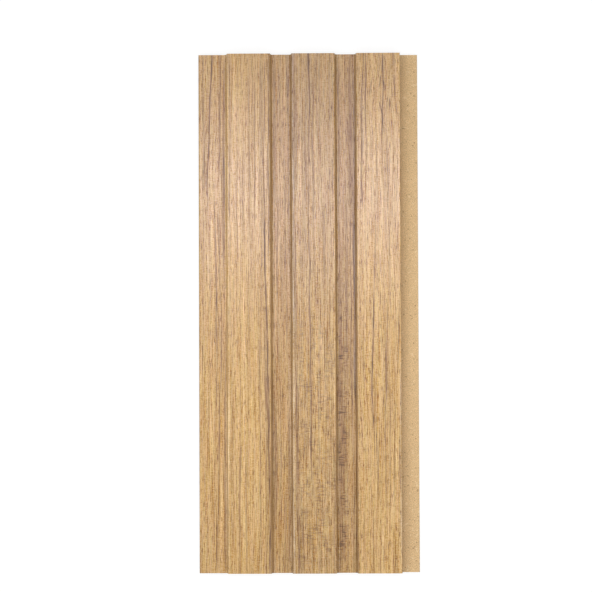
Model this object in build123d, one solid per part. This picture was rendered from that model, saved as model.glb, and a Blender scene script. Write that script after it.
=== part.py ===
"""Fluted wall panel: a moulded fibreboard profile, wrapped over its face in a thin wood-print foil.

The panel lies on its back with its face up. X runs across the slats, Y along them and Z out of the wall.
The origin is on the back face, at the middle of the panel's overall footprint. Sizes are millimetres.
Levels and widths are those of the finished face, measured over the foil.
"""
import os
from math import radians, tan

from build123d import *

# The panel and its slats
panel_length = 321.0
panel_thickness = 16.0
slat_count = 3
slat_pitch = 40.0
gap_width = 12.5  # between two slats, half way up their walls
relief_depth = 6.5  # from a slat's crest down to the gap beside it
wall_draft = 8.5  # degrees that a slat's wall leans from upright
crest_radius = 0.6
root_radius = 0.8

# The foil
foil_thickness = 0.3
foil_return = 3.0  # how far it is turned in under the tongue
nose_radius = 1.0
nose_under_radius = 0.8

# The joint: a tongue along the left edge slides into the groove of the panel before it,
# over a lip that runs out past the groove and takes the clips
tongue_entry = 5.0  # how far the tongue goes into the groove
lip_reach = 11.0  # from the last slat's side to the lip's edge
lip_thickness = 4.4
slide_clearance = 0.2  # above and below the tongue
end_clearance = 0.4  # past the tongue in the groove, and past the lip in the rebate

# Levels above the back face
face_level = panel_thickness
gap_level = face_level - relief_depth
groove_ceiling = gap_level + slide_clearance
tongue_underside = lip_thickness + slide_clearance
rebate_ceiling = tongue_underside + foil_thickness

# Places across the panel
overall_width = tongue_entry + slat_count * slat_pitch + lip_reach
tongue_edge = -overall_width / 2
lip_edge = overall_width / 2
first_gap_start = tongue_edge + tongue_entry
slat_side = lip_edge - lip_reach  # the last slat's upright side, over the groove
groove_end = slat_side - tongue_entry - end_clearance
rebate_end = tongue_edge + tongue_entry + lip_reach + end_clearance
wall_run = relief_depth / 2 * tan(radians(wall_draft))  # each side of a wall's middle


def rounded_path(corners):
    """Straight runs through corners of (x, z, radius), rounded at each inner one."""
    points = [(x, z) for x, z, radius in corners]
    radii = [radius for x, z, radius in corners[1:-1]]
    with BuildLine() as path:
        FilletPolyline(*points, radius=radii)
    return path.line


def face_corners():
    """The finished face from the foil's edge under the tongue, over the slats, to the groove's mouth."""
    corners = [
        (tongue_edge + foil_return, tongue_underside, 0),
        (tongue_edge, tongue_underside, nose_under_radius),
        (tongue_edge, gap_level, nose_radius),
    ]
    for slat in range(slat_count):
        slat_start = first_gap_start + gap_width + slat * slat_pitch
        slat_end = first_gap_start + (slat + 1) * slat_pitch
        corners += [
            (slat_start - wall_run, gap_level, root_radius),
            (slat_start + wall_run, face_level, crest_radius),
        ]
        if slat < slat_count - 1:
            corners += [
                (slat_end - wall_run, face_level, crest_radius),
                (slat_end + wall_run, gap_level, root_radius),
            ]
    corners += [
        (slat_side, face_level, crest_radius),
        (slat_side, groove_ceiling, 0),
    ]
    return corners


def panel_section(face_path):
    """The whole panel's section, foil included: its face, then the groove, lip, back and rebate."""
    with BuildSketch() as section:
        with BuildLine():
            add(face_path)
            Polyline(
                (slat_side, groove_ceiling),
                (groove_end, groove_ceiling),
                (groove_end, lip_thickness),
                (lip_edge, lip_thickness),
                (lip_edge, 0),
                (rebate_end, 0),
                (rebate_end, rebate_ceiling),
                (tongue_edge + foil_return, rebate_ceiling),
                (tongue_edge + foil_return, tongue_underside),
            )
        make_face()
    return section.sketch


def foil_section(face_path):
    """The strip of foil that lies along the inside of the finished face."""
    with BuildSketch() as section:
        with BuildLine():
            offset(face_path, amount=foil_thickness, side=Side.RIGHT, kind=Kind.INTERSECTION, closed=True)
        make_face()
    return section.sketch


def stock(section):
    """A section drawn in X and Z, run along Y for the panel's length, half of it each way."""
    upright = Plane.XZ * section
    return extrude(upright, amount=panel_length / 2, both=True)


face_path = rounded_path(face_corners())
foil = foil_section(face_path)
board = panel_section(face_path) - foil

os.makedirs("parts", exist_ok=True)
export_step(stock(board), "parts/mdf_board.step")
export_step(stock(foil), "parts/decor_foil.step")
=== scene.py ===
"""Looks of a fluted wall panel: a moulded fibreboard profile under a thin foil printed with wood grain.

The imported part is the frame. The board and the foil are made again inside it as finer surfaces, with the
finishes that the photograph shows. X runs across the slats, Y along them and Z out of the wall.
Lengths are metres. Names that end in _mm are millimetres, which the grain is drawn in.
"""
from collections import namedtuple
from functools import partial, reduce
from math import radians, tan

import bpy
import numpy as np
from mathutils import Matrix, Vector


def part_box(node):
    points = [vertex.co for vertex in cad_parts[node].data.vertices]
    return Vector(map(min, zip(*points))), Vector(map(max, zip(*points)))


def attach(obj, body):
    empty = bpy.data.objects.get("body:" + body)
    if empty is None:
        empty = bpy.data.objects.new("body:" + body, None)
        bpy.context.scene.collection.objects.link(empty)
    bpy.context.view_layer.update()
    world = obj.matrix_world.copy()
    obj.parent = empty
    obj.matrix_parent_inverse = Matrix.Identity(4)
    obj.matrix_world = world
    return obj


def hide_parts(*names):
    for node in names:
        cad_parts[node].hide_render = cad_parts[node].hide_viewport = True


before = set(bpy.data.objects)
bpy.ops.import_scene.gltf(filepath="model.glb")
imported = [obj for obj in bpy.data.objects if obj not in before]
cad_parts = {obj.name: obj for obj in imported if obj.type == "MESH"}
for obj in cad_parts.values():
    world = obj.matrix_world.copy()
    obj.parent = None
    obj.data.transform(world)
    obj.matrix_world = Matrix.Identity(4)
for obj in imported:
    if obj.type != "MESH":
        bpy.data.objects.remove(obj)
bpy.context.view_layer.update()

bl_info = {
    "name": "Fluted wall panel",
    "version": (1, 0, 0),
    "blender": (4, 5, 0),
    "location": "3D View > Sidebar > Wall panel",
    "description": "Makes a foil-wrapped fluted wall panel with its grain, and a plain studio round it",
    "category": "Add Mesh",
}

BODY = "root"
BOARD_NODE = "mdf_board"
FOIL_NODE = "decor_foil"
GRAIN_MAP = "grain"
SHARP_ANGLE = radians(30.0)
MM = 0.001
WHITE = (1.0, 1.0, 1.0)

board_low, board_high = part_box(BOARD_NODE)
foil_low, foil_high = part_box(FOIL_NODE)


def length_property(name, description, default):
    """A size in metres, shown in the scene's own unit of length."""
    return bpy.props.FloatProperty(
        name=name, description=description, default=default, unit="LENGTH", precision=5
    )


def colour_property(name, description, default):
    """A colour, as linear red, green and blue."""
    return bpy.props.FloatVectorProperty(
        name=name, description=description, default=default, subtype="COLOR", size=3, min=0.0, max=1.1
    )


def share_property(name, description, default):
    """A plain number with no unit, such as a strength or a roughness."""
    return bpy.props.FloatProperty(name=name, description=description, default=default, min=0.0)


class PanelSizes(bpy.types.PropertyGroup):
    """Sizes of the panel's section. Its length, thickness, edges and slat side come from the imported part."""

    length: length_property("Length", "Along the slats", board_high.y - board_low.y)
    tongue_edge: length_property("Tongue edge", "Place of the left edge, over the foil", foil_low.x)
    slat_side: length_property("Slat side", "Place of the last slat's upright side", foil_high.x)
    lip_edge: length_property("Lip edge", "Place of the bare lip's right edge", board_high.x)
    face_level: length_property("Face level", "Height of the slats' crests", foil_high.z)
    tongue_underside: length_property("Tongue underside", "Height of the foil under the tongue", foil_low.z)
    slat_count: bpy.props.IntProperty(name="Slats", description="How many slats there are", default=3, min=1)
    tongue_entry: length_property("Tongue entry", "How far the tongue goes into a groove", 5.0 * MM)
    gap_width: length_property("Gap", "Between two slats, half way up their walls", 12.5 * MM)
    relief_depth: length_property("Relief", "From a slat's crest down to the gap", 6.5 * MM)
    wall_draft: bpy.props.FloatProperty(
        name="Wall draft", description="How far a slat's wall leans", default=radians(8.5), subtype="ANGLE"
    )
    crest_radius: length_property("Crest radius", "Round of a slat's two upper edges", 0.6 * MM)
    root_radius: length_property("Root radius", "Round at a wall's foot", 0.8 * MM)
    nose_radius: length_property("Nose radius", "Round of the tongue's upper edge", 1.0 * MM)
    nose_under_radius: length_property("Lower nose radius", "Round of the tongue's lower edge", 0.8 * MM)
    foil_thickness: length_property("Foil", "Thickness of the foil", 0.3 * MM)
    foil_return: length_property("Foil return", "How far the foil is turned in under the tongue", 3.0 * MM)
    slide_clearance: length_property("Slide clearance", "Above and below the tongue in a groove", 0.2 * MM)
    end_clearance: length_property("End clearance", "Past the tongue, and past the lip", 0.4 * MM)
    arris: length_property("Arris", "Slight round that handling leaves on bare edges", 0.35 * MM)
    cutter_radius: length_property("Cutter radius", "Round left in milled inner corners", 0.3 * MM)


class PrintLook(bpy.types.PropertyGroup):
    """Inks and finish of the wood print, from its darkest lines to its palest streaks."""

    ink: colour_property("Ink", "Darkest lines", (0.115, 0.054, 0.012))
    umber: colour_property("Umber", "Dark streaks", (0.288, 0.150, 0.053))
    brown: colour_property("Brown", "Shaded wood", (0.445, 0.277, 0.107))
    gold: colour_property("Gold", "Main tone of the wood", (0.572, 0.358, 0.138))
    honey: colour_property("Honey", "Light streaks", (0.680, 0.435, 0.170))
    straw: colour_property("Straw", "Palest streaks", (0.765, 0.508, 0.218))
    # Ash: the print's greyish lines, and also painted shade that greys the walls and a painted highlight on
    # the last crest's edge
    ash: colour_property("Ash", "Greyish lines and walls", (0.510, 0.385, 0.270))
    # Painted light: laid over the first wall, paler than the wood, in place of the light that reaches that
    # wall
    painted_first_wall_light: colour_property("Pale wall", "The first wall, paler than the others", (0.950, 0.690, 0.380))
    pink_tint: colour_property("Pink tint", "One end of the wood's changes of hue", (1.0, 0.956, 1.020))
    olive_tint: colour_property("Olive tint", "The other end of the changes of hue", (0.985, 1.0, 0.945))
    fine_swing: bpy.props.FloatVectorProperty(
        name="Fine swing", description="How far red, green and blue go with the threads and the grit",
        default=(1.0, 1.6, 3.2), subtype="XYZ"
    )
    pore_swing: bpy.props.FloatVectorProperty(
        name="Pore swing", description="How far red, green and blue go down in the pores and vessels",
        default=(1.0, 1.18, 1.3), subtype="XYZ"
    )
    fine_skew: share_property("Fine skew", "How much further the finest figure goes down than up", 1.0)
    # This also scales the painted light and shade that are drawn among the lines
    line_strength: share_property("Lines", "Strength of the wood's own lines", 1.5)
    fibre_strength: share_property("Fibres", "Strength of the long fibres", 0.20)
    thread_strength: share_property("Threads", "Strength of the thin threads", 0.28)
    pore_strength: share_property("Pores", "Strength of the short dark pores", 0.44)
    vessel_strength: share_property("Vessels", "Strength of the few long thin dark vessels", 0.40)
    grit_strength: share_property("Grit", "Strength of the finest grit between them", 0.20)
    mottle_strength: share_property("Mottle", "Strength of the blotches where the grain is rippled", 0.22)
    ripple_strength: share_property("Ripple", "Strength of the figure that crosses the grain", 0.30)
    roughness: share_property("Roughness", "Of the satin finish on wood of the main tone", 0.215)
    dark_roughness: share_property("Dark roughness", "How much rougher the darkest streaks are", 0.09)
    pale_smoothness: share_property("Pale smoothness", "How much smoother the palest streaks are", 0.015)
    emboss: share_property("Emboss", "Depth of the pressed-in pores, in millimetres", 0.03)
    cut_edge: colour_property("Cut edge", "Plain brown of the foil's cut edge", (0.30, 0.17, 0.08))


class BoardLook(bpy.types.PropertyGroup):
    """Tones of bare fibreboard, where it is milled, sawn or sanded."""

    fibre: colour_property("Fibre", "Main tone of the milled board", (0.695, 0.480, 0.252))
    pale_fibre: colour_property("Pale fibre", "Single light fibres", (0.850, 0.645, 0.385))
    bark_speck: colour_property("Bark speck", "Small dark specks", (0.260, 0.140, 0.060))
    skin: colour_property("Skin", "Dense outer layers, seen at the sawn ends", (0.480, 0.305, 0.145))
    milled_speckle: share_property("Milled speckle", "Strength of the speckle where it is milled", 0.54)
    sawn_speckle: share_property("Sawn speckle", "Strength of the speckle where it is sawn", 0.55)
    sanded_speckle: share_property("Sanded speckle", "Strength of the speckle on the back", 0.18)


class StudioLook(bpy.types.PropertyGroup):
    """The camera at the photograph's viewing angle, and soft lights over a white floor."""

    camera_place: bpy.props.FloatVectorProperty(
        name="Camera", description="Where the camera stands", default=(0.01836, -0.05076, 1.64868),
        subtype="TRANSLATION", unit="LENGTH"
    )
    camera_turn: bpy.props.FloatVectorProperty(
        name="Camera turn", description="Turn of the camera from straight down",
        default=(radians(2.1341), radians(0.9246), radians(-0.2250)), subtype="EULER"
    )
    focal_length: bpy.props.FloatProperty(
        name="Focal length", description="On a sensor 36 mm wide", default=161.15, subtype="DISTANCE_CAMERA"
    )
    floor_size: length_property("Floor", "Side of the square floor", 8.0)
    floor_drop: length_property("Floor drop", "Hair of room between the floor and the back face", 0.05 * MM)
    key_power: share_property("Key light", "Watts of the soft light overhead", 2.0)
    sheen_power: share_property("Sheen light", "Watts of the strip that shows in the foil's sheen", 3.15)
    sheen_colour: colour_property("Sheen colour", "Cooler than the other lights", (0.83, 0.79, 1.0))
    fill: share_property("Fill", "Strength of the light from all round", 0.42)


class NodeBench:
    """One node tree, with short calls that add a node, feed its sockets and hand back its output."""

    def __init__(self, tree):
        self.tree = tree

    def feed(self, socket, value):
        """Links another node's output, or sets the socket's own value. A colour is red, green and blue."""
        if isinstance(value, bpy.types.NodeSocket):
            self.tree.links.new(value, socket)
        elif socket.type == "RGBA":
            socket.default_value = (*value, 1.0)
        else:
            socket.default_value = value

    def add(self, kind, inputs=None, **settings):
        """A new node with its settings, its inputs fed by name or by number."""
        node = self.tree.nodes.new(kind)
        for setting, value in settings.items():
            setattr(node, setting, value)
        for socket, value in (inputs or {}).items():
            self.feed(node.inputs[socket], value)
        return node

    def math(self, operation, *values):
        """The result of one sum on up to three values."""
        return self.add("ShaderNodeMath", dict(enumerate(values)), operation=operation).outputs[0]

    def vector(self, operation, *values):
        """The result of one sum on up to three vectors or colours."""
        return self.add("ShaderNodeVectorMath", dict(enumerate(values)), operation=operation).outputs[0]

    def total(self, *values):
        """All the values added up."""
        return reduce(partial(self.math, "ADD"), values)

    def product(self, *values):
        """All the values multiplied."""
        return reduce(partial(self.math, "MULTIPLY"), values)

    def swing(self, value, strength):
        """A pattern from 0 to 1 as a change of tone, from -strength to +strength."""
        return self.product(self.math("SUBTRACT", value, 0.5), strength * 2)

    def ease(self, value, low, high, start=0.0, end=1.0):
        """Goes softly from start to end while value goes from low to high, and stays there."""
        inputs = {"Value": value, "From Min": low, "From Max": high, "To Min": start, "To Max": end}
        return self.add("ShaderNodeMapRange", inputs, interpolation_type="SMOOTHSTEP").outputs[0]

    def along_range(self, value, low, high):
        """Where value lies from low, at 0, to high, at 1, and on past both."""
        inputs = {"Value": value, "From Min": low, "From Max": high}
        return self.add("ShaderNodeMapRange", inputs, clamp=False).outputs[0]

    def parts(self, vector):
        """The X, Y and Z of a vector."""
        return self.add("ShaderNodeSeparateXYZ", {0: vector}).outputs

    def object_place(self):
        """The place on the piece, in metres."""
        return self.add("ShaderNodeTexCoord").outputs["Object"]

    def noise(self, place, scale=1.0, detail=0.0, roughness=0.5, dimensions="2D"):
        """Soft random pattern from 0 to 1."""
        inputs = {"Vector": place, "Scale": scale, "Detail": detail, "Roughness": roughness}
        return self.add("ShaderNodeTexNoise", inputs, noise_dimensions=dimensions).outputs[0]

    def streaks(self, across, along, kind):
        """Random streaks of one kind, from 0 to 1, drawn out along the panel.

        Noise has its streaks in level rows, so neighbours are pushed along at random by so many lengths.
        """
        x = self.math("MULTIPLY_ADD", across, 1.0 / kind.width_mm, kind.shift)
        y = self.math("MULTIPLY_ADD", along, 1.0 / kind.length_mm, kind.shift)
        if kind.stagger:
            row = {"W": x, "Scale": PUSH_SCALE, "Detail": 0.0}
            push = self.add("ShaderNodeTexNoise", row, noise_dimensions="1D").outputs[0]
            y = self.math("MULTIPLY_ADD", push, kind.stagger * PUSH_SPREAD, y)
        return self.noise(self.add("ShaderNodeCombineXYZ", {"X": x, "Y": y}).outputs[0], detail=kind.detail)

    def marks(self, across, along, kind, start=0.0, end=1.0):
        """Streaks with clear wood between them, which is where they give start and not end."""
        return self.ease(self.streaks(across, along, kind), kind.shows_from, kind.full_at, start, end)

    def blend(self, factor, under, over, way="MIX"):
        """Two colours mixed."""
        inputs = {0: factor, 6: under, 7: over}
        return self.add("ShaderNodeMix", inputs, data_type="RGBA", blend_type=way).outputs[2]

    def palette(self, factor, stops):
        """A colour ramp through (place, colour) stops."""
        node = self.add("ShaderNodeValToRGB", {"Fac": factor})
        elements = node.color_ramp.elements
        while len(elements) < len(stops):
            elements.new(0.5)
        for element, (place, colour) in zip(elements, stops):
            element.position = place
            element.color = (*colour, 1.0)
        return node.outputs["Color"]

    def bump(self, height, depth_mm):
        """Normals of a surface with a pattern pressed into it, that many millimetres deep."""
        inputs = {"Height": height, "Distance": depth_mm * MM, "Strength": 1.0}
        return self.add("ShaderNodeBump", inputs).outputs[0]

    def surface(self, inputs):
        """The shader of a material, fed by name."""
        shader = self.add("ShaderNodeBsdfPrincipled", inputs)
        self.add("ShaderNodeOutputMaterial", {"Surface": shader.outputs[0]})

    def group(self, tree, **inputs):
        """A placed node group. A socket's name is written with _ for its spaces."""
        node = self.tree.nodes.new("ShaderNodeGroup")
        node.node_tree = tree
        for name, value in inputs.items():
            self.feed(node.inputs[name.replace("_", " ")], value)
        return node.outputs

    def sockets(self, way, names):
        """Gives the group number sockets with those names."""
        for name in names:
            self.tree.interface.new_socket(name=name, in_out=way, socket_type="NodeSocketFloat")

    def give(self, results):
        """Puts the group's results out by name, and hands back its tree."""
        self.sockets("OUTPUT", results)
        self.add("NodeGroupOutput", results)
        return self.tree


def new_group(name, inputs):
    """The bench of a new node group, and what the group is given by name."""
    bench = NodeBench(bpy.data.node_groups.new(name, "ShaderNodeTree"))
    bench.sockets("INPUT", inputs)
    return bench, bench.add("NodeGroupInput").outputs


def emptied(owner):
    """The bench of a material's or a world's own tree, with nothing on it yet."""
    owner.use_nodes = True
    owner.node_tree.nodes.clear()
    return NodeBench(owner.node_tree)


def grain_line_group():
    """Adds one line of the print to the tone so far.

    The line runs from one end to the other with a bow between them. Its tone fades softly to nothing at
    half its width on each side, and over the given share of its length at each end.
    """
    bench, given = new_group("grain line", (
        "Across", "Along", "Waver", "Tone so far", "From across", "From along", "To across", "To along",
        "Half width", "Tone", "Fade", "Bow",
    ))
    way = bench.along_range(given["Along"], given["From along"], given["To along"])
    lean = bench.math("SUBTRACT", given["To across"], given["From across"])
    straight = bench.math("MULTIPLY_ADD", way, lean, given["From across"])
    rise = bench.product(way, bench.math("SUBTRACT", 1.0, way), 4.0, given["Bow"])
    centre = bench.total(straight, rise, given["Waver"])
    gap = bench.math("ABSOLUTE", bench.math("SUBTRACT", given["Across"], centre))
    body = bench.ease(gap, 0.0, given["Half width"], 1.0, 0.0)
    start = bench.ease(way, 0.0, given["Fade"])
    end = bench.ease(bench.math("SUBTRACT", 1.0, way), 0.0, given["Fade"])
    strength = bench.product(body, start, end)
    return bench.give({"Tone": bench.math("MULTIPLY_ADD", strength, given["Tone"], given["Tone so far"])})


def soft_patch_group():
    """A mask that is 1 inside a rectangle on the print and fades to 0 softly round it."""
    bench, given = new_group("soft patch", (
        "Across", "Along", "Left", "Right", "Top", "Bottom", "Soft across", "Soft along",
    ))

    def inside(value, low, high, soft):
        """1 between low and high, with soft edges on both."""
        outer = bench.product(soft, -1.0)
        enter = bench.ease(bench.math("SUBTRACT", value, low), outer, soft)
        leave = bench.ease(bench.math("SUBTRACT", high, value), outer, soft)
        return bench.product(enter, leave)

    across = inside(given["Across"], given["Left"], given["Right"], given["Soft across"])
    along = inside(given["Along"], given["Bottom"], given["Top"], given["Soft along"])
    return bench.give({"Mask": bench.product(across, along)})


# Kinds of streaks: their width and length, where their noise begins, how much finer detail it has, by how
# many lengths neighbours are staggered, and for marks the noise at which they start to show and are full
Streaks = namedtuple(
    "Streaks", "width_mm length_mm shift detail stagger shows_from full_at", defaults=(0.0, 0.0, 0.0, 1.0)
)
DRIFT = Streaks(16.0, 110.0, 3.1)
FLAME = Streaks(8.0, 24.0, 8.3)
WAVER = Streaks(11.0, 36.0, 6.6)
FIBRES = Streaks(1.7, 130.0, 5.9, 1.0, 0.5)
THREADS = Streaks(0.52, 30.0, 9.2, 0.0, 1.0)
GRIT = Streaks(0.5, 0.8, 1.7, 1.0)
CROSS_GRIT = Streaks(2.2, 0.8, 3.9)
MOTTLE = Streaks(3.2, 6.0, 2.9, 1.0)
PORES = Streaks(0.40, 4.8, 4.4, 0.0, 0.35, 0.62, 0.75)
VESSELS = Streaks(0.44, 20.0, 6.1, 0.0, 1.0, 0.60, 0.76)
HUES = Streaks(1.5, 16.0, 7.7, 1.0, 1.0, 0.30, 0.70)
BREAKS = Streaks(0.8, 14.0, 2.3, 0.0, 0.0, 0.28, 0.62)
RIPPLES = Streaks(4.2, 0.9, 8.1, 0.0, 0.0, 0.48, 0.74)
RIPPLE_BREAKS = Streaks(7.0, 9.0, 5.5, 0.0, 0.0, 0.42, 0.62)

# How fast the push that staggers them changes from streak to streak, and what spreads it over whole lengths
PUSH_SCALE = 0.63
PUSH_SPREAD = 4.0

# How far the grain drifts, flames and wavers, how weak and how strong the breaks leave a line, and how much
# the fibres stand out in the relief
DRIFT_MM = 1.6
FLAME_MM = 1.6
WAVER_MM = 0.60
WEAKEST_LINE = 0.62
STRONGEST_LINE = 1.20
FIBRE_RELIEF = 0.8


def wood_group(look):
    """Wood without its lines: long fibres, thin threads and short pores along a grain that drifts a little.

    It also gives what bends and breaks up the lines, and the ripple and blotches that cross the grain.
    """
    bench, given = new_group("wood figure", ("Across", "Along", "Flame"))
    across = given["Across"]
    along = given["Along"]
    drift = bench.swing(bench.streaks(across, along, DRIFT), DRIFT_MM)
    flame = bench.product(given["Flame"], bench.swing(bench.streaks(across, along, FLAME), FLAME_MM))
    grain = bench.total(across, drift, flame)
    fibres = bench.swing(bench.streaks(grain, along, FIBRES), look.fibre_strength)
    threads = bench.swing(bench.streaks(grain, along, THREADS), look.thread_strength)
    grit = bench.swing(bench.streaks(grain, along, GRIT), look.grit_strength)
    cross_grit = bench.swing(bench.streaks(grain, along, CROSS_GRIT), look.grit_strength / 2)
    pores = bench.marks(grain, along, PORES)
    vessels = bench.product(bench.marks(grain, along, VESSELS), -look.vessel_strength)
    ripples = bench.product(bench.marks(across, along, RIPPLES), bench.marks(across, along, RIPPLE_BREAKS))
    return bench.give({
        "Tone": fibres,
        "Fine": bench.total(threads, grit, cross_grit),
        "Dark": bench.math("MULTIPLY_ADD", pores, -look.pore_strength, vessels),
        "Relief": bench.math("MULTIPLY_ADD", pores, -1.0, bench.product(fibres, FIBRE_RELIEF)),
        "Hue": bench.marks(grain, along, HUES),
        "Waver": bench.swing(bench.streaks(across, along, WAVER), WAVER_MM),
        "Breaks": bench.marks(across, along, BREAKS, WEAKEST_LINE, STRONGEST_LINE),
        "Ripple": ripples,
        "Mottle": bench.swing(bench.streaks(across, along, MOTTLE), look.mottle_strength),
    })


# Bare board: the size of a fibre, the scales of the other patterns as shares of the fibres' own, and the
# values between which each pattern comes or goes
FIBRE_MM = 0.55
CLOUD_SHARE = 0.12
CLOUD_SCALE = 0.09
SPECK_SCALE = 0.55
STRAND_SCALE = 0.22
BIT_SCALE = 0.27
SPECK_EDGE = (0.20, 0.65)
SPECK_PICK = (0.94, 0.98)
STRAND_EDGE = (0.015, 0.07)
BIT_EDGE = (0.57, 0.65)


def fibre_speckle_group():
    """The figure of bare fibreboard: a fine mottle, single pale fibres and small dark specks."""
    bench, given = new_group("fibreboard speckle", ("Fibre size",))
    place_mm = bench.vector("MULTIPLY", bench.object_place(), (1.0 / MM, 1.0 / MM, 1.0 / MM))
    per_fibre = bench.math("DIVIDE", 1.0, given["Fibre size"])

    def cloudy(scale, detail, roughness):
        """Noise at that share of the fibres' own scale."""
        return bench.noise(place_mm, bench.product(per_fibre, scale), detail, roughness, "3D")

    fine = bench.product(cloudy(1.0, 1.0, 0.6), 1.0 - CLOUD_SHARE)
    crumb_scale = bench.product(per_fibre, SPECK_SCALE)
    crumbs = bench.add("ShaderNodeTexVoronoi", {"Vector": place_mm, "Scale": crumb_scale}).outputs
    pick = bench.add("ShaderNodeSeparateColor", {"Color": crumbs["Color"]}).outputs[0]
    near = bench.ease(crumbs["Distance"], *SPECK_EDGE, 1.0, 0.0)
    from_strand = bench.math("ABSOLUTE", bench.math("SUBTRACT", cloudy(STRAND_SCALE, 1.0, 0.4), 0.5))
    strand = bench.ease(from_strand, *STRAND_EDGE, 1.0, 0.0)
    bits = bench.ease(cloudy(BIT_SCALE, 1.0, 0.5), *BIT_EDGE)
    return bench.give({
        "Mottle": bench.math("MULTIPLY_ADD", cloudy(CLOUD_SCALE, 2.0, 0.5), CLOUD_SHARE, fine),
        "Pale fibres": bench.product(strand, bits),
        "Dark specks": bench.product(near, bench.ease(pick, *SPECK_PICK)),
    })


# A line of the print runs from one place on the seen face to another. It is as wide as its soft sides reach,
# and fades over that share of its length at each end. A tone is how much darker, below 0, or paler it makes
# the wood. Lines and patches are placed one by one.
# Lines also carry painted light and shade: the strips along the walls, the lines at their feet and those on
# the crests' edges, each marked where it stands
Line = namedtuple(
    "Line", "from_across_mm from_along_mm to_across_mm to_along_mm width_mm tone fade bow_mm",
    defaults=(0.3, 0.0),
)
TonePatch = namedtuple("TonePatch", "left_mm right_mm top_mm bottom_mm tone soft_across_mm soft_along_mm")
Flat = namedtuple(
    "Flat", "name left_mm tone figure lines ash_lines pale_lines patches ripples", defaults=((), (), (), ())
)


def strip(across_mm, width_mm, tone):
    """A straight line from end to end of the panel, such as the painted light or shade along one wall."""
    return Line(across_mm, 172, across_mm, -172, width_mm, tone, 0.02)


def top_shade(tone):
    """A change of tone of the whole panel's upper end, for the flats that have it."""
    return TonePatch(-72, 62, 230, 88, tone, 1, 55)


LEFT_LAND_LINES = (
    Line(-58.8, 172, -63.1, 76, 1.4, -0.48, 0.1, -0.1),
    Line(-65.2, 172, -64.7, 66, 2.6, -0.24, 0.2),
    Line(-60.2, 168, -60.3, 110, 2.4, -0.08),
    Line(-59.7, 85, -59.5, -35, 2.6, 0.17),
    Line(-57.7, 84, -55.2, -16, 1.6, -0.3, 0.22, -1.2),
    Line(-55.5, 76, -52.4, -22, 1.4, -0.22, 0.22, -1.3),
    Line(-56.9, 65, -56.3, 15, 1.2, 0.12, 0.35),
    Line(-54.4, 172, -55.2, 80, 2.6, -0.24, 0.2),
    Line(-53.2, 112, -53.2, 30, 2.2, -0.12, 0.25),
    Line(-51.9, 112, -51.8, 58, 1.6, -0.28),
    Line(-53.3, -12, -53.4, -60, 3, -0.18),
    Line(-52.2, 168, -52.2, 5, 2.6, -0.28, 0.2),
    # Painted light: the first wall made paler
    strip(-50.6, 8, 0.34),
    Line(-51, 12, -52.5, -168, 2, -0.26, 0.1, -0.3),
    Line(-51.6, -30, -51.5, -168, 2, -0.2, 0.2),
    Line(-54.6, -2, -58, -168, 1.7, -0.32, 0.12, 0.9),
    Line(-57.4, 36, -57.6, -88, 1.5, -0.2, 0.25, 0.4),
    Line(-54, -60, -55.1, -168, 1.9, 0.22, 0.25, 0.2),
    Line(-60.2, -32, -59.9, -112, 2.4, 0.12),
    Line(-58.6, -80, -59, -168, 2, -0.12, 0.25),
    Line(-61.2, -42, -62.6, -86, 1.2, -0.16, 0.4),
    Line(-62.6, 45, -62.6, 5, 1.8, 0.14, 0.4),
    Line(-67.3, 60, -67.2, -168, 1.6, 0.1, 0.25),
)
FIRST_SLAT_LINES = (
    # Painted light: the first wall and the crest's edge beside it made paler
    strip(-50.6, 8, 0.34),
    strip(-50, 3, 0.04),
    Line(-48.9, 172, -48.7, 50, 2.4, -0.22, 0.16),
    Line(-46.5, 125, -46.8, -8, 3.4, 0.14),
    Line(-45.3, 172, -45.3, 98, 3.6, 0.12, 0.25),
    Line(-44.1, 115, -44, 25, 1.4, -0.18, 0.3, 0.2),
    Line(-42.9, 105, -42.5, 20, 2.8, 0.18),
    Line(-40.1, 110, -40, 30, 1.7, -0.24),
    Line(-38.4, 85, -38.2, 10, 1.9, 0.15),
    Line(-40.2, 30, -40.1, -168, 3.6, 0.18, 0.18),
    Line(-44, -12, -44.2, -92, 1.9, 0.16),
    Line(-36.1, 168, -36.3, 30, 1.9, -0.15, 0.25),
    Line(-34.2, 168, -34.3, 65, 1.6, -0.12, 0.25),
    Line(-33, 155, -33.1, 40, 1.9, -0.24, 0.25),
    Line(-35.4, 0, -35.5, -168, 2.6, 0.11, 0.2),
    Line(-32, 0, -32.1, -140, 1.9, 0.14, 0.2),
    Line(-31.9, 95, -31.8, 45, 1.7, 0.14, 0.35),
    Line(-29.8, 168, -30, 55, 2.2, -0.2, 0.22),
    Line(-30.1, 5, -29.9, -168, 1.7, -0.22, 0.16),
    Line(-28.7, 168, -28.6, -20, 2.6, -0.15, 0.2),
    Line(-27.1, 168, -26.9, 20, 1.6, -0.34, 0.2, -0.2),
    Line(-27.6, 62, -25.2, -44, 1.7, -0.54, 0.14, 0.4),
    Line(-25.3, -28, -24.1, -168, 2.3, -0.42, 0.12, 0.25),
    Line(-26, 135, -25.4, 30, 1.3, 0.06, 0.22, 0.1),
    Line(-24.9, 46, -24, -16, 1.3, 0.14),
    Line(-26.9, 8, -26.4, -66, 2.4, -0.24, 0.25),
    Line(-24.5, 172, -24.4, 20, 1.8, -0.34, 0.16),
    Line(-25.9, -34, -26, -178, 2.6, -0.25, 0.15),
    Line(-47.4, -18, -47.9, -80, 1.2, -0.08, 0.3, 0.1),
    Line(-47.7, -70, -48.1, -150, 1.4, -0.1, 0.22),
    Line(-42.1, -25, -42.3, -120, 1.2, -0.2, 0.22),
    Line(-42.2, -70, -43.5, -168, 1.9, -0.16, 0.22),
    Line(-38.7, -70, -38.5, -168, 1.7, -0.18, 0.25),
    Line(-39, 45, -36.6, -30, 1.2, -0.13, 0.35, 0.3),
    Line(-31, 25, -31, -40, 1.4, -0.13, 0.35),
)
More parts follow.
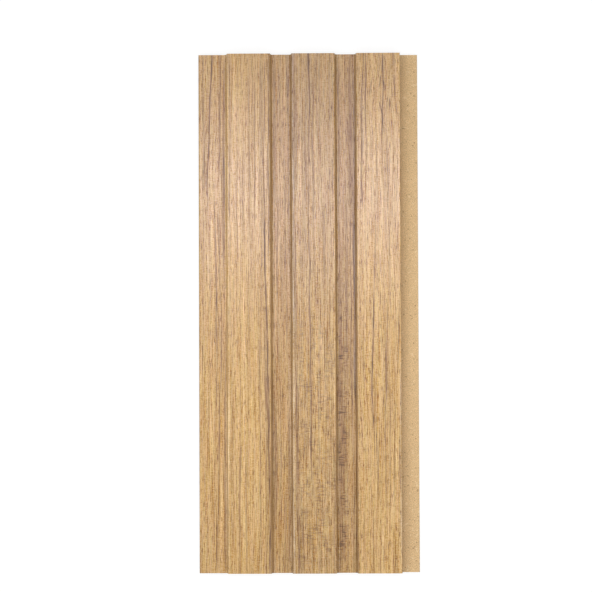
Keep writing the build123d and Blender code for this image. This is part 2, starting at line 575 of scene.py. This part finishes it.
SECOND_LAND_LINES = (
    Line(-18.3, 70, -17.9, 0, 2, 0.12),
    Line(-19.4, 76, -19.3, 4, 2, -0.18, 0.25),
    Line(-14.6, 112, -14.4, 20, 2.8, -0.12),
    Line(-12.4, 172, -12.2, 40, 2.4, -0.16, 0.2),
    Line(-12.4, -55, -12.3, -168, 2.6, -0.15, 0.22),
    Line(-17.6, -78, -17.5, -112, 1.6, -0.16),
    Line(-20.4, 172, -20.6, 60, 2.8, -0.18, 0.22),
    Line(-20.8, -45, -20.8, -140, 2.2, -0.2, 0.22),
    # Darker along the foot of the second wall: painted shade, with a line of the print
    Line(-22.3, -30, -22.3, -180, 1.8, -0.2, 0.15),
    Line(-16.8, 108, -16.9, 40, 1.8, 0.12),
    Line(-14.8, -106, -14.9, -168, 2.8, -0.16, 0.2),
)
SECOND_SLAT_LINES = (
    Line(-8, 168, -7.4, 66, 2.8, -0.16, 0.22),
    Line(-8.1, 60, -8, -92, 1.5, -0.18, 0.2),
    Line(-7.4, -38, -6.6, -172, 2.8, -0.24, 0.16, 0.1),
    Line(-9, 176, -9, -50, 2.4, -0.14, 0.1),
    Line(-9.8, 0, -9.8, -172, 3, 0.24, 0.2),
    Line(-4.4, -104, -4.2, -176, 3.8, -0.18, 0.35),
    Line(0.1, 172, 0.7, 88, 1.6, -0.42, 0.1, 0.5),
    Line(0.1, 98, 0.8, -12, 1.8, -0.24, 0.2, -0.2),
    Line(0.8, 15, 1.4, -112, 1.5, -0.36, 0.2, 0.2),
    Line(1.6, -55, 1.3, -135, 1.6, -0.1),
    Line(-1.3, 155, -1.2, 70, 1.9, -0.13),
    Line(3.2, 155, 3.2, 12, 1.6, -0.18, 0.25),
    Line(4.6, 150, 4.6, 14, 2, 0.14, 0.2),
    Line(4.6, 12, 4.6, -96, 3.6, 0.16, 0.22),
    Line(8.3, 14, 8.9, -134, 2.4, 0.09, 0.25),
    Line(5.1, 170, 5, 118, 1.4, -0.14),
    Line(-4.9, 122, -4.7, 55, 2, 0.13),
    Line(-2, 38, -2.1, -55, 2.4, 0.1),
    Line(15.6, -72, 15.6, -172, 3.4, -0.2, 0.2),
    Line(15.5, 172, 15.5, 40, 2.2, -0.15, 0.25),
    # Painted light: the fourth wall, at 17, and the third wall, at -10.5, made paler
    strip(16.95, 5, 0.22),
    strip(16.6, 3.2, 0.28),
    strip(-10.7, 7, 0.12),
    Line(13.1, 165, 13.1, 102, 1.3, -0.12),
    Line(9.6, 72, 9.6, 12, 3, -0.15, 0.25),
)
THIRD_LAND_LINES = (
    Line(19, 168, 19.2, -168, 2.6, -0.14, 0.1),
    Line(20.2, 25, 20.9, -168, 2.6, -0.15, 0.16, -0.2),
    Line(20.4, 118, 20.7, 24, 3, 0.1),
    Line(26.6, 78, 26.6, -88, 2.2, -0.26, 0.2),
    Line(23.9, 14, 24, -42, 2.6, -0.18, 0.25),
    Line(21.6, -42, 21.8, -168, 2.4, -0.14, 0.2),
    Line(26.4, 172, 26, 60, 4.4, -0.24, 0.22),
    Line(28.7, 160, 28.4, 25, 2.8, -0.33, 0.22, -0.1),
    Line(28.4, 60, 28.7, -62, 2.4, -0.44, 0.14, -0.1),
    Line(27, 70, 26.9, -40, 1.4, 0.26, 0.2),
    Line(23.7, 78, 23.5, -4, 3.4, -0.16, 0.25),
    # Dark along the foot of the fifth wall: partly a line of the print, partly painted shade
    Line(29.15, -40, 29.15, -168, 3.2, -0.85, 0.1, 0.1),
    Line(27.4, -70, 27.4, -168, 1.8, -0.1, 0.2),
)
THIRD_SLAT_LINES = (
    Line(31.2, 168, 31.2, 90, 1.9, -0.16, 0.25),
    Line(35.9, 172, 35.4, 104, 1.7, -0.3, 0.2),
    Line(35.3, 172, 34, 60, 1.6, -0.42, 0.12, -1.6),
    Line(36.2, 110, 36, 66, 1.8, -0.14),
    Line(38.4, 172, 35.3, 126, 1.1, -0.18, 0.3, -0.3),
    Line(37.2, 122, 37.5, -4, 2.7, 0.15, 0.25),
    Line(34.3, 78, 34.6, 14, 2, 0.15),
    Line(36.7, 14, 37.2, -66, 2.4, 0.13),
    Line(41.5, 62, 40.2, 2, 1.6, -0.22, 0.3, 0.5),
    Line(40.6, 14, 40.1, -76, 1.6, -0.52, 0.14, -1.3),
    Line(39.4, -58, 40.2, -112, 1.5, -0.24),
    Line(39.4, -112, 39.3, -170, 1.3, -0.24),
    Line(42.2, 112, 42.5, 55, 1.3, -0.24, 0.28, 0.1),
    Line(40.9, 138, 41.1, 72, 2.4, 0.14),
    Line(46.7, 168, 46, 68, 1.7, -0.24, 0.22, -0.3),
    Line(49, 116, 49.1, 60, 1.3, -0.26, 0.3, 0.1),
    Line(45, 72, 45.1, 6, 1.9, 0.14),
    Line(51.7, 68, 52, -4, 2.4, 0.14),
    Line(50.3, 80, 49.4, 2, 1.4, -0.2, 0.25, 0.2),
    Line(48.9, 14, 47, -62, 1.5, -0.22, 0.25, -0.2),
    Line(46.9, -46, 47.6, -122, 1.4, -0.22, 0.25, -0.1),
    Line(46.3, 162, 45.6, 146, 1.5, -0.42, 0.3, 0.2),
    Line(45.5, 148, 43.9, 138, 1.3, -0.34),
    Line(46.2, 145, 47.7, 136, 2.2, -0.3, 0.35),
    Line(52.4, 164, 52.9, 151, 1.6, -0.38),
    Line(53, 149, 54.3, 131, 1.6, -0.44),
    Line(50.5, 133.5, 50.5, 125.5, 1.5, -0.44, 0.35),
    Line(54.6, 131, 55.1, 121, 1.5, -0.38, 0.35),
    Line(44.2, 131, 46.6, 121, 1.4, -0.4, 0.25, -0.2),
    Line(46.5, 123, 46, 108, 1.4, -0.34, 0.25),
    Line(39.6, 145, 38.1, 132, 1.4, -0.34),
    Line(56, 12, 53.9, -56, 1.4, -0.26, 0.25, 0.1),
    Line(53.6, -44, 51.9, -120, 1.3, -0.16),
    Line(56.3, -64, 55.7, -116, 1.4, -0.2),
    Line(50.2, -42, 49.9, -114, 2, -0.18, 0.25),
    Line(48.2, -12, 48, -62, 4.4, -0.15),
    Line(43.4, 140, 43.8, 62, 4.2, 0.11),
    Line(55.8, -72, 55.9, -114, 1.7, -0.18),
    Line(33.2, 6, 34.2, -52, 3, -0.12),
    Line(54, -70, 54.2, -130, 1.7, 0.11),
    Line(40.8, -40, 41.4, -100, 1.6, -0.26, 0.35),
    Line(42.1, -74, 42.4, -120, 1.6, -0.26, 0.35),
    Line(50.9, -128, 51.2, -168, 1.2, -0.2),
    Line(54.6, -128, 53.6, -168, 1.3, -0.2),
    # Painted highlight: the crest's edge by the slat's side made paler
    strip(56.8, 3, 0.16),
    # Painted light: the fifth wall made paler
    strip(29.2, 7, 0.1),
)

# Painted shade: ash laid along each wall makes it greyer, as the walls look in their shade
SECOND_WALL_PAINTED_SHADE = strip(-23, 10, 0.48)
THIRD_WALL_PAINTED_SHADE = strip(-10.6, 10, 0.6)
FOURTH_WALL_PAINTED_SHADE = strip(17, 10, 0.44)
FIFTH_WALL_PAINTED_SHADE = strip(29.6, 8, 0.7)
# Painted light: the first wall painted in a pale colour
FIRST_WALL_PAINTED_LIGHT = (strip(-50.74, 6, 0.95), strip(-50.2, 4.8, 0.75))
# Ash on the second slat: painted shade on the third and fourth walls, and greyish lines of the print
SECOND_SLAT_ASH_AND_WALL_SHADE = (THIRD_WALL_PAINTED_SHADE, FOURTH_WALL_PAINTED_SHADE, strip(3.2, 60, 0.06), strip(-9.5, 2.4, 0.5))
# Ash on the third land: painted shade on the fourth wall and, in the two lines at 29.3 and 29.5, on the fifth
# wall, and a greyish tint of the print
THIRD_LAND_ASH_AND_WALL_SHADE = (
    FOURTH_WALL_PAINTED_SHADE, strip(23.2, 40, 0.04), Line(29.3, 190, 29.3, -70, 8, 0.72, 0.1),
    Line(29.5, -40, 29.5, -190, 5.2, 0.62, 0.15),
)
# Ash on the third slat: painted shade on the fifth wall, a greyish line of the print, and a painted highlight
# on the crest's edge by the slat's side
THIRD_SLAT_ASH_AND_PAINTED_LIGHT = (
    FIFTH_WALL_PAINTED_SHADE, Line(34.4, 150, 34, 90, 1.3, 0.35, 0.3, -0.2),
    # Painted highlight on the crest's edge by the slat's side
    Line(56.5, -20, 56.5, -168, 1.6, 0.45, 0.25),
)

# Each flat of the face: its left edge, how much darker or paler its wood is, how strong its figure is, its
# own lines, those in ash, which are greyish lines of the print and painted shade and highlight, those in a
# pale colour that are painted light on the first wall, its broad changes of tone, and where it is rippled
FLATS = (
    Flat(
        "left_land", -68, 0.07, 0.95, LEFT_LAND_LINES, pale_lines=FIRST_WALL_PAINTED_LIGHT,
        patches=(top_shade(-0.04), TonePatch(-64, -54, -9, -16, -0.14, 2.5, 3)),
    ),
    Flat(
        "first_slat", -50.5, 0.08, 0.85, FIRST_SLAT_LINES, (SECOND_WALL_PAINTED_SHADE,), FIRST_WALL_PAINTED_LIGHT,
        patches=(top_shade(-0.04), TonePatch(-55, -18, 132, 84, 0.05, 1, 18)),
    ),
    Flat("second_land", -23, -0.06, 1.0, SECOND_LAND_LINES, (SECOND_WALL_PAINTED_SHADE, THIRD_WALL_PAINTED_SHADE)),
    Flat(
        "second_slat", -10.5, -0.04, 1.0, SECOND_SLAT_LINES, SECOND_SLAT_ASH_AND_WALL_SHADE,
        patches=(top_shade(-0.06),), ripples=(TonePatch(-7, 16, -5, -155, 1, 3, 22),),
    ),
    Flat(
        "third_land", 17, -0.09, 1.0, THIRD_LAND_LINES, THIRD_LAND_ASH_AND_WALL_SHADE,
        patches=(TonePatch(15, 24.2, 28, -170, -0.03, 1, 24),),
        ripples=(TonePatch(17.5, 24, 10, -165, 1.2, 1, 20),),
    ),
    Flat("third_slat", 29.5, 0.12, 0.95, THIRD_SLAT_LINES, THIRD_SLAT_ASH_AND_PAINTED_LIGHT, patches=(top_shade(-0.05),)),
)
FLAME_PATCH = TonePatch(37, 57, 175, 95, 1, 3, 30)


def rotated(vectors, angles):
    """Each vector turned by each of its angles."""
    cosine = np.cos(angles)
    sine = np.sin(angles)
    x = vectors[:, None, 0]
    z = vectors[:, None, 1]
    return np.stack([x * cosine - z * sine, x * sine + z * cosine], axis=-1)


def rounded_path(corners, arc_steps=10):
    """Points and headings along a path through corners of (across, up, radius), rounded at each inner one.

    An arc starts radius times tan(turn / 2) before its corner. Its points are its start, turned about its
    centre by equal parts of the whole turn, and its headings turn with them.
    """
    corners = np.asarray(corners, float)
    places = corners[:, :2]
    radii = corners[1:-1, 2:]
    runs = np.diff(places, axis=0)
    runs /= np.linalg.norm(runs, axis=1, keepdims=True)
    before = runs[:-1]
    after = runs[1:]
    cross = before[:, 0] * after[:, 1] - before[:, 1] * after[:, 0]
    turn = np.arctan2(cross, (before * after).sum(axis=1))[:, None]
    start = places[1:-1] - before * radii * np.tan(np.abs(turn) / 2)
    left = np.stack([-before[:, 1], before[:, 0]], axis=1)
    centre = start + left * np.sign(turn) * radii
    angles = turn * np.linspace(0.0, 1.0, arc_steps + 1)
    arcs = centre[:, None] + rotated(start - centre, angles)
    points = np.concatenate([places[:1], arcs.reshape(-1, 2), places[-1:]])
    headings = np.concatenate([runs[:1], rotated(before, angles).reshape(-1, 2), runs[-1:]])
    return points, headings


def face_corners(sizes):
    """The finished face from the foil's edge under the tongue, over the slats, to the groove's mouth."""
    gap_level = sizes.face_level - sizes.relief_depth
    first_gap = sizes.tongue_edge + sizes.tongue_entry
    pitch = (sizes.slat_side - first_gap) / sizes.slat_count
    wall_run = sizes.relief_depth / 2 * tan(sizes.wall_draft)
    corners = [
        (sizes.tongue_edge + sizes.foil_return, sizes.tongue_underside, 0.0),
        (sizes.tongue_edge, sizes.tongue_underside, sizes.nose_under_radius),
        (sizes.tongue_edge, gap_level, sizes.nose_radius),
    ]
    for slat in range(sizes.slat_count):
        slat_start = first_gap + sizes.gap_width + slat * pitch
        slat_end = first_gap + (slat + 1) * pitch
        corners += [
            (slat_start - wall_run, gap_level, sizes.root_radius),
            (slat_start + wall_run, sizes.face_level, sizes.crest_radius),
        ]
        if slat < sizes.slat_count - 1:
            corners += [
                (slat_end - wall_run, sizes.face_level, sizes.crest_radius),
                (slat_end + wall_run, gap_level, sizes.root_radius),
            ]
    corners += [
        (sizes.slat_side, sizes.face_level, sizes.crest_radius),
        (sizes.slat_side, gap_level + sizes.slide_clearance, 0.0),
    ]
    return corners


def face_and_inside(sizes):
    """Points of the finished face, and the same points moved in by the foil's thickness."""
    face, headings = rounded_path(face_corners(sizes))
    inward = np.stack([headings[:, 1], -headings[:, 0]], axis=1)
    return face, face + inward * sizes.foil_thickness


def underside_corners(sizes):
    """The board from the groove's mouth round the groove, lip, back and rebate to the foil's inner edge."""
    gap_level = sizes.face_level - sizes.relief_depth
    lip_level = sizes.tongue_underside - sizes.slide_clearance
    groove_end = sizes.slat_side - sizes.tongue_entry - sizes.end_clearance
    lip_reach = sizes.lip_edge - sizes.slat_side
    rebate_end = sizes.tongue_edge + sizes.tongue_entry + lip_reach + sizes.end_clearance
    rebate_ceiling = sizes.tongue_underside + sizes.foil_thickness
    return [
        (sizes.slat_side - sizes.foil_thickness, gap_level + sizes.slide_clearance, 0.0),
        (groove_end, gap_level + sizes.slide_clearance, sizes.cutter_radius),
        (groove_end, lip_level, sizes.cutter_radius),
        (sizes.lip_edge, lip_level, sizes.arris),
        (sizes.lip_edge, board_low.z, sizes.arris),
        (rebate_end, board_low.z, sizes.arris),
        (rebate_end, rebate_ceiling, sizes.cutter_radius),
        (sizes.tongue_edge + sizes.foil_return, rebate_ceiling, 0.0),
    ]


def carried_along(outline, length):
    """Vertices of a closed outline carried along Y, half the length each way, and the faces between its ends.

    A vertex is (across, station, up), with the stations at -length/2 and +length/2. Each face joins one
    step of the outline at the first station to the same step at the second.
    """
    count = len(outline)
    stations = np.array([-length / 2, length / 2])
    vertices = np.empty((len(stations), count, 3))
    vertices[:, :, 0] = outline[:, 0]
    vertices[:, :, 1] = stations[:, None]
    vertices[:, :, 2] = outline[:, 1]
    here = np.arange(count)
    after = (here + 1) % count
    sides = np.stack([here, after, after + count, here + count], axis=1)
    return vertices.reshape(-1, 3), sides.tolist()


def new_piece(name, vertices, faces):
    """A mesh object at the origin, smooth across its arcs and sharp at its corners."""
    mesh = bpy.data.meshes.new(name)
    mesh.from_pydata(vertices, [], faces)
    mesh.shade_smooth()
    mesh.set_sharp_from_angle(angle=SHARP_ANGLE)
    mesh.validate()
    piece = bpy.data.objects.new(name, mesh)
    bpy.context.scene.collection.objects.link(piece)
    return piece


def set_face_materials(piece, materials, picks):
    """Gives the piece its materials, and each face the number of its own."""
    for material in materials:
        piece.data.materials.append(material)
    piece.data.polygons.foreach_set("material_index", np.asarray(picks, np.int32))


def run_along(face):
    """Distance along the face at each of its points, in metres, from the foil's edge under the tongue."""
    steps = np.linalg.norm(np.diff(face, axis=0), axis=1)
    return np.concatenate([[0.0], np.cumsum(steps)])


def grain_place(face):
    """A function that turns a place across the seen face into millimetres along the foil."""
    seen = np.arange(len(face)) >= face[:, 0].argmin()
    seen_across = face[seen, 0]
    seen_run = run_along(face)[seen]

    def to_foil(across_mm):
        """Millimetres along the foil at that place of the face."""
        return float(np.interp(across_mm * MM, seen_across, seen_run)) / MM

    return to_foil


# Tones of the darkest and the palest wood, and where each ink stands from the one, at 0, to the other, at 1
DARKEST_TONE = -0.8
PALEST_TONE = 0.4
INK_PLACES = {"ink": 0.05, "umber": 0.25, "brown": 0.50, "gold": 0.667, "honey": 0.833, "straw": 1.0}

# Tones at which the satin finish is at its roughest and at its smoothest
ROUGHEST_TONE = -0.45
SMOOTHEST_TONE = 0.35


def print_and_painted_light_material(flat, wood, line_group, patch_group, to_foil, look):
    """The print on one flat: wood, with the flat's own lines, changes of tone and ripple over it, and painted
    light and shade on its walls and crest edges.
    """
    material = bpy.data.materials.new("wood_print_" + flat.name)
    bench = emptied(material)
    at = bench.parts(bench.add("ShaderNodeUVMap", uv_map=GRAIN_MAP).outputs[0])
    across = bench.product(at["X"], 1.0 / MM)
    along = bench.product(at["Y"], 1.0 / MM)

    def mask(patch):
        """How much of a place lies in one patch."""
        return bench.group(
            patch_group, Across=across, Along=along, Top=patch.top_mm, Bottom=patch.bottom_mm,
            Left=to_foil(patch.left_mm), Right=to_foil(patch.right_mm),
            Soft_across=patch.soft_across_mm, Soft_along=patch.soft_along_mm,
        )["Mask"]

    figure = bench.group(wood, Across=across, Along=along, Flame=mask(FLAME_PATCH))
    tone = bench.math("MULTIPLY_ADD", figure["Tone"], flat.figure, flat.tone)
    for patch in flat.patches:
        tone = bench.math("MULTIPLY_ADD", mask(patch), patch.tone, tone)
    for patch in flat.ripples:
        ripple = bench.math("MULTIPLY_ADD", figure["Ripple"], -look.ripple_strength, figure["Mottle"])
        tone = bench.math("MULTIPLY_ADD", bench.product(mask(patch), ripple), patch.tone, tone)

    def drawn(lines):
        """The tones of all the lines, added up."""
        tones = 0.0
        for line in lines:
            tones = bench.group(
                line_group, Across=across, Along=along, Waver=figure["Waver"], Tone_so_far=tones,
                From_across=to_foil(line.from_across_mm), From_along=line.from_along_mm,
                To_across=to_foil(line.to_across_mm), To_along=line.to_along_mm,
                Half_width=line.width_mm / 2, Tone=line.tone, Fade=line.fade, Bow=line.bow_mm,
            )["Tone"]
        return tones

    # The lines hold the print's own lines and, among them, painted light and shade along the walls
    strength = bench.product(figure["Breaks"], look.line_strength)
    tone = bench.math("MULTIPLY_ADD", drawn(flat.lines), strength, tone)
    reach = PALEST_TONE - DARKEST_TONE
    place = bench.math("MULTIPLY_ADD", tone, 1.0 / reach, -DARKEST_TONE / reach)
    inks = [(ink_place, getattr(look, ink)) for ink, ink_place in INK_PLACES.items()]
    hue = bench.blend(figure["Hue"], look.pink_tint, look.olive_tint)
    colour = bench.blend(1.0, bench.palette(place, inks), hue, "MULTIPLY")
    # Ash: greyish lines of the print, and painted shade that greys the walls
    if flat.ash_lines:
        colour = bench.blend(drawn(flat.ash_lines), colour, look.ash)
    # Painted light: the first wall painted pale
    if flat.pale_lines:
        colour = bench.blend(drawn(flat.pale_lines), colour, look.painted_first_wall_light)

    fine = bench.product(figure["Fine"], flat.figure)
    fine = bench.product(fine, bench.math("MULTIPLY_ADD", fine, -look.fine_skew, 1.0))
    dark = bench.product(figure["Dark"], flat.figure)
    swing = bench.vector("MULTIPLY_ADD", fine, look.fine_swing, WHITE)
    swing = bench.vector("MULTIPLY_ADD", dark, look.pore_swing, swing)
    colour = bench.vector("MAXIMUM", bench.vector("MULTIPLY", colour, swing), look.ink)
    roughest = look.roughness + look.dark_roughness
    smoothest = look.roughness - look.pale_smoothness
    bench.surface({
        "Base Color": colour,
        "Roughness": bench.ease(tone, ROUGHEST_TONE, SMOOTHEST_TONE, roughest, smoothest),
        "Normal": bench.bump(figure["Relief"], look.emboss),
    })
    return material


def shaded(colour, times):
    """A colour made that many times as bright, and no brighter than white."""
    return tuple(min(1.0, channel * times) for channel in colour)


# How much brighter than its main tone the palest of the foil's cut edge is
CUT_EDGE_PALEST = 1.35


def foil_edge_material(look):
    """The foil's own cut edge: plain brown film, slightly uneven."""
    material = bpy.data.materials.new("foil_cut_edge")
    bench = emptied(material)
    uneven = bench.noise(bench.object_place(), scale=900.0, detail=2.0, roughness=0.6, dimensions="3D")
    colour = bench.blend(uneven, look.cut_edge, shaded(look.cut_edge, CUT_EDGE_PALEST))
    bench.surface({"Base Color": colour, "Roughness": 0.6})
    return material


# How bright the board is where its mottle is dark, middling and pale, how far the mottle is spread, the depth
# of the dense layers at the sawn ends, and how much of a fibre's or a speck's own colour shows
MOTTLE_SHADES = ((0.0, 0.74), (0.5, 1.0), (1.0, 1.22))
MOTTLE_SPREAD = 3.0
SKIN_DEPTH = 3.5 * MM
PALE_FIBRE_SHARE = 0.70
DARK_SPECK_SHARE = 0.75


def fibreboard_material(speckle_group, look, name, speckle, roughness, relief_mm, skin=0.0):
    """Bare fibreboard: fine mottle, pale fibres and dark specks, with dense outer layers where it is sawn."""
    material = bpy.data.materials.new(name)
    bench = emptied(material)
    figure = bench.group(speckle_group, Fibre_size=FIBRE_MM)
    shade = bench.math("MULTIPLY_ADD", bench.swing(figure["Mottle"], 1.0), speckle * MOTTLE_SPREAD, 0.5)
    colour = bench.palette(shade, [(place, shaded(look.fibre, times)) for place, times in MOTTLE_SHADES])
    if skin:
        level = bench.parts(bench.object_place())["Z"]
        above = bench.ease(level, foil_high.z - SKIN_DEPTH, foil_high.z)
        below = bench.ease(level, SKIN_DEPTH, 0.0)
        colour = bench.blend(bench.product(bench.math("MAXIMUM", above, below), skin), colour, look.skin)
    colour = bench.blend(bench.product(figure["Pale fibres"], PALE_FIBRE_SHARE), colour, look.pale_fibre)
    colour = bench.blend(bench.product(figure["Dark specks"], DARK_SPECK_SHARE), colour, look.bark_speck)
    bench.surface({
        "Base Color": colour,
        "Roughness": roughness,
        "Specular IOR Level": 0.25,
        "Normal": bench.bump(figure["Mottle"], relief_mm),
    })
    return material


# The board's finishes by number: milled all round but for the sanded back, and sawn at both ends
MILLED, SANDED, SAWN = range(3)


class WALLPANEL_OT_add_board(bpy.types.Operator):
    """Make the moulded fibreboard profile, with its groove, lip and rebate"""

    bl_idname = "wall_panel.add_board"
    bl_label = "Add fibreboard"

    def execute(self, context):
        sizes = context.scene.wall_panel_sizes
        look = context.scene.wall_panel_board
        _, inside = face_and_inside(sizes)
        underside, _ = rounded_path(underside_corners(sizes), arc_steps=5)
        outline = np.concatenate([inside, underside[1:-1]])
        vertices, faces = carried_along(outline, sizes.length)
        count = len(outline)
        face_levels = (outline[:, 1] + np.roll(outline[:, 1], -1)) / 2
        on_back = face_levels < board_low.z + sizes.arris / 100
        ends = [list(range(count))[::-1], list(range(count, 2 * count))]
        board = new_piece("fibreboard_profile", vertices, faces + ends)
        finish = partial(fibreboard_material, fibre_speckle_group(), look)
        milled = finish("fibreboard_milled", look.milled_speckle, roughness=0.75, relief_mm=0.05)
        sanded = finish("fibreboard_sanded", look.sanded_speckle, roughness=0.60, relief_mm=0.015)
        sawn = finish("fibreboard_sawn", look.sawn_speckle, roughness=0.85, relief_mm=0.12, skin=0.8)
        picks = [*np.where(on_back, SANDED, MILLED), SAWN, SAWN]
        set_face_materials(board, (milled, sanded, sawn), picks)
        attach(board, BODY)
        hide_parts(BOARD_NODE)
        return {"FINISHED"}


class WALLPANEL_OT_add_foil(bpy.types.Operator):
    """Make the printed foil that is wrapped over the slats, the lands and the tongue"""

    bl_idname = "wall_panel.add_foil"
    bl_label = "Add printed foil"

    def execute(self, context):
        sizes = context.scene.wall_panel_sizes
        look = context.scene.wall_panel_print
        face, inside = face_and_inside(sizes)
        outline = np.concatenate([face, inside[::-1]])
        vertices, faces = carried_along(outline, sizes.length)
        count = len(outline)
        steps = len(face) - 1
        first = np.arange(steps)
        opposite = count - 1 - first
        near_end = np.stack([first, opposite, opposite - 1, first + 1], axis=1)
        far_end = near_end[:, ::-1] + count
        ends = np.concatenate([near_end, far_end]).tolist()
        foil = new_piece("wood_print_foil_skin", vertices, faces + ends)
        run = run_along(face)
        runs = np.tile(np.concatenate([run, run[::-1]]), 2)
        corner_vertices = np.empty(len(foil.data.loops), np.int32)
        foil.data.loops.foreach_get("vertex_index", corner_vertices)
        places = np.stack([runs[corner_vertices], vertices[corner_vertices, 1]], axis=1)
        foil.data.uv_layers.new(name=GRAIN_MAP).uv.foreach_set("vector", places.astype(np.float32).ravel())
        groups = (wood_group(look), grain_line_group(), soft_patch_group())
        to_foil = grain_place(face)
        print_and_light_materials = [print_and_painted_light_material(flat, *groups, to_foil, look) for flat in FLATS]
        middles = (outline[:, 0] + np.roll(outline[:, 0], -1)) / 2
        starts = [flat.left_mm * MM for flat in FLATS[1:]]
        picks = np.full(len(faces) + len(ends), len(FLATS))
        picks[:steps] = np.searchsorted(starts, middles[:steps])
        set_face_materials(foil, (*print_and_light_materials, foil_edge_material(look)), picks)
        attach(foil, BODY)
        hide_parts(FOIL_NODE)
        return {"FINISHED"}


# Places of the two lights, what they are turned to, and their sizes
KEY_PLACE = (-0.018, -0.05, 0.52)
KEY_TARGET = (-0.018, -0.05, 0.0)
KEY_SIZE = (0.48, 0.30)
SHEEN_PLACE = (0.0, 0.146, 0.90)
SHEEN_TARGET = (0.0, 0.077, 0.0)
SHEEN_SIZE = (1.0, 0.10)


def add_softbox(name, place, target, size, power, colour=WHITE):
    """A soft rectangular light at a place, turned towards a target."""
    light = bpy.data.lights.new(name, "AREA")
    light.shape = "RECTANGLE"
    light.size, light.size_y = size
    light.energy = power
    light.color = colour
    lamp = bpy.data.objects.new(name, light)
    lamp.location = place
    lamp.rotation_euler = (Vector(target) - Vector(place)).to_track_quat("-Z", "Y").to_euler()
    bpy.context.scene.collection.objects.link(lamp)
    return lamp


def seen_rays(bench):
    """1 for what the camera sees directly, in a reflection or through glass."""
    path = bench.add("ShaderNodeLightPath").outputs
    seen = bench.math("MAXIMUM", path["Is Camera Ray"], path["Is Glossy Ray"])
    return bench.math("MAXIMUM", seen, path["Is Transmission Ray"])


def white_surroundings(fill):
    """A world that looks white, and lights the panel softly from all round."""
    world = bpy.data.worlds.new("studio")
    bench = emptied(world)
    lighting = bench.add("ShaderNodeBackground", {"Color": WHITE, "Strength": fill}).outputs[0]
    backdrop = bench.add("ShaderNodeBackground", {"Color": WHITE, "Strength": 1.0}).outputs[0]
    mixed = bench.add("ShaderNodeMixShader", {0: seen_rays(bench), 1: lighting, 2: backdrop}).outputs[0]
    bench.add("ShaderNodeOutputWorld", {"Surface": mixed})
    return world


# Shades of the floor between which its faint grain goes, and how much it glows to the camera
FLOOR_SHADES = ((0.17, 0.17, 0.17), (0.19, 0.19, 0.19))
FLOOR_GLOW = 0.89


def floor_material():
    """A floor that keeps a faint shadow, and glows to the camera so that the rest of it is plain white."""
    material = bpy.data.materials.new("studio_floor")
    bench = emptied(material)
    grain = bench.noise(bench.object_place(), scale=40.0, detail=2.0, dimensions="3D")
    bench.surface({
        "Base Color": bench.blend(grain, *FLOOR_SHADES),
        "Roughness": 1.0,
        "Specular IOR Level": 0.0,
        "Emission Color": WHITE,
        "Emission Strength": bench.product(seen_rays(bench), FLOOR_GLOW),
    })
    return material


class WALLPANEL_OT_add_studio(bpy.types.Operator):
    """Make the white floor, the soft lights and the camera"""

    bl_idname = "wall_panel.add_studio"
    bl_label = "Add studio"

    def execute(self, context):
        look = context.scene.wall_panel_studio
        half = look.floor_size / 2
        corners = np.array([(-half, -half), (half, -half), (half, half), (-half, half)])
        floor_points = np.column_stack([corners, np.full(4, -look.floor_drop)])
        floor = new_piece("studio_floor", floor_points, [(0, 1, 2, 3)])
        floor.data.materials.append(floor_material())
        context.scene.world = white_surroundings(look.fill)
        key = add_softbox("key_light", KEY_PLACE, KEY_TARGET, KEY_SIZE, look.key_power)
        key.visible_glossy = False
        sheen = add_softbox(
            "sheen_light", SHEEN_PLACE, SHEEN_TARGET, SHEEN_SIZE, look.sheen_power, look.sheen_colour
        )
        sheen.visible_diffuse = False
        camera_data = bpy.data.cameras.new("camera")
        camera_data.sensor_width = 36.0
        camera_data.lens = look.focal_length
        camera = bpy.data.objects.new("camera", camera_data)
        camera.location = look.camera_place
        camera.rotation_euler = look.camera_turn
        context.scene.collection.objects.link(camera)
        context.scene.camera = camera
        context.scene.view_settings.view_transform = "Standard"
        return {"FINISHED"}


class WALLPANEL_PT_tools(bpy.types.Panel):
    """Lists the sizes and looks, and the pieces that can be made"""

    bl_label = "Wall panel"
    bl_idname = "WALLPANEL_PT_tools"
    bl_space_type = "VIEW_3D"
    bl_region_type = "UI"
    bl_category = "Wall panel"

    def draw(self, context):
        for settings in SETTINGS:
            box = self.layout.box()
            group = getattr(context.scene, settings)
            for name in group.__annotations__:
                box.prop(group, name)
        for operator in MAKERS:
            self.layout.operator(operator.bl_idname)


SETTINGS = {
    "wall_panel_sizes": PanelSizes,
    "wall_panel_print": PrintLook,
    "wall_panel_board": BoardLook,
    "wall_panel_studio": StudioLook,
}
MAKERS = (WALLPANEL_OT_add_board, WALLPANEL_OT_add_foil, WALLPANEL_OT_add_studio)


def register():
    """Gives Blender the settings, the operators and their panel."""
    for settings in SETTINGS.values():
        bpy.utils.register_class(settings)
    for scene_property, settings in SETTINGS.items():
        setattr(bpy.types.Scene, scene_property, bpy.props.PointerProperty(type=settings))
    for operator in MAKERS:
        bpy.utils.register_class(operator)
    bpy.utils.register_class(WALLPANEL_PT_tools)


def unregister():
    """Takes out what register has put in, last things first."""
    bpy.utils.unregister_class(WALLPANEL_PT_tools)
    for operator in reversed(MAKERS):
        bpy.utils.unregister_class(operator)
    for scene_property, settings in reversed(SETTINGS.items()):
        delattr(bpy.types.Scene, scene_property)
        bpy.utils.unregister_class(settings)


def main():
    """Makes the board, the foil and the studio."""
    register()
    bpy.ops.wall_panel.add_board()
    bpy.ops.wall_panel.add_foil()
    bpy.ops.wall_panel.add_studio()


if __name__ == "__main__":
    main()
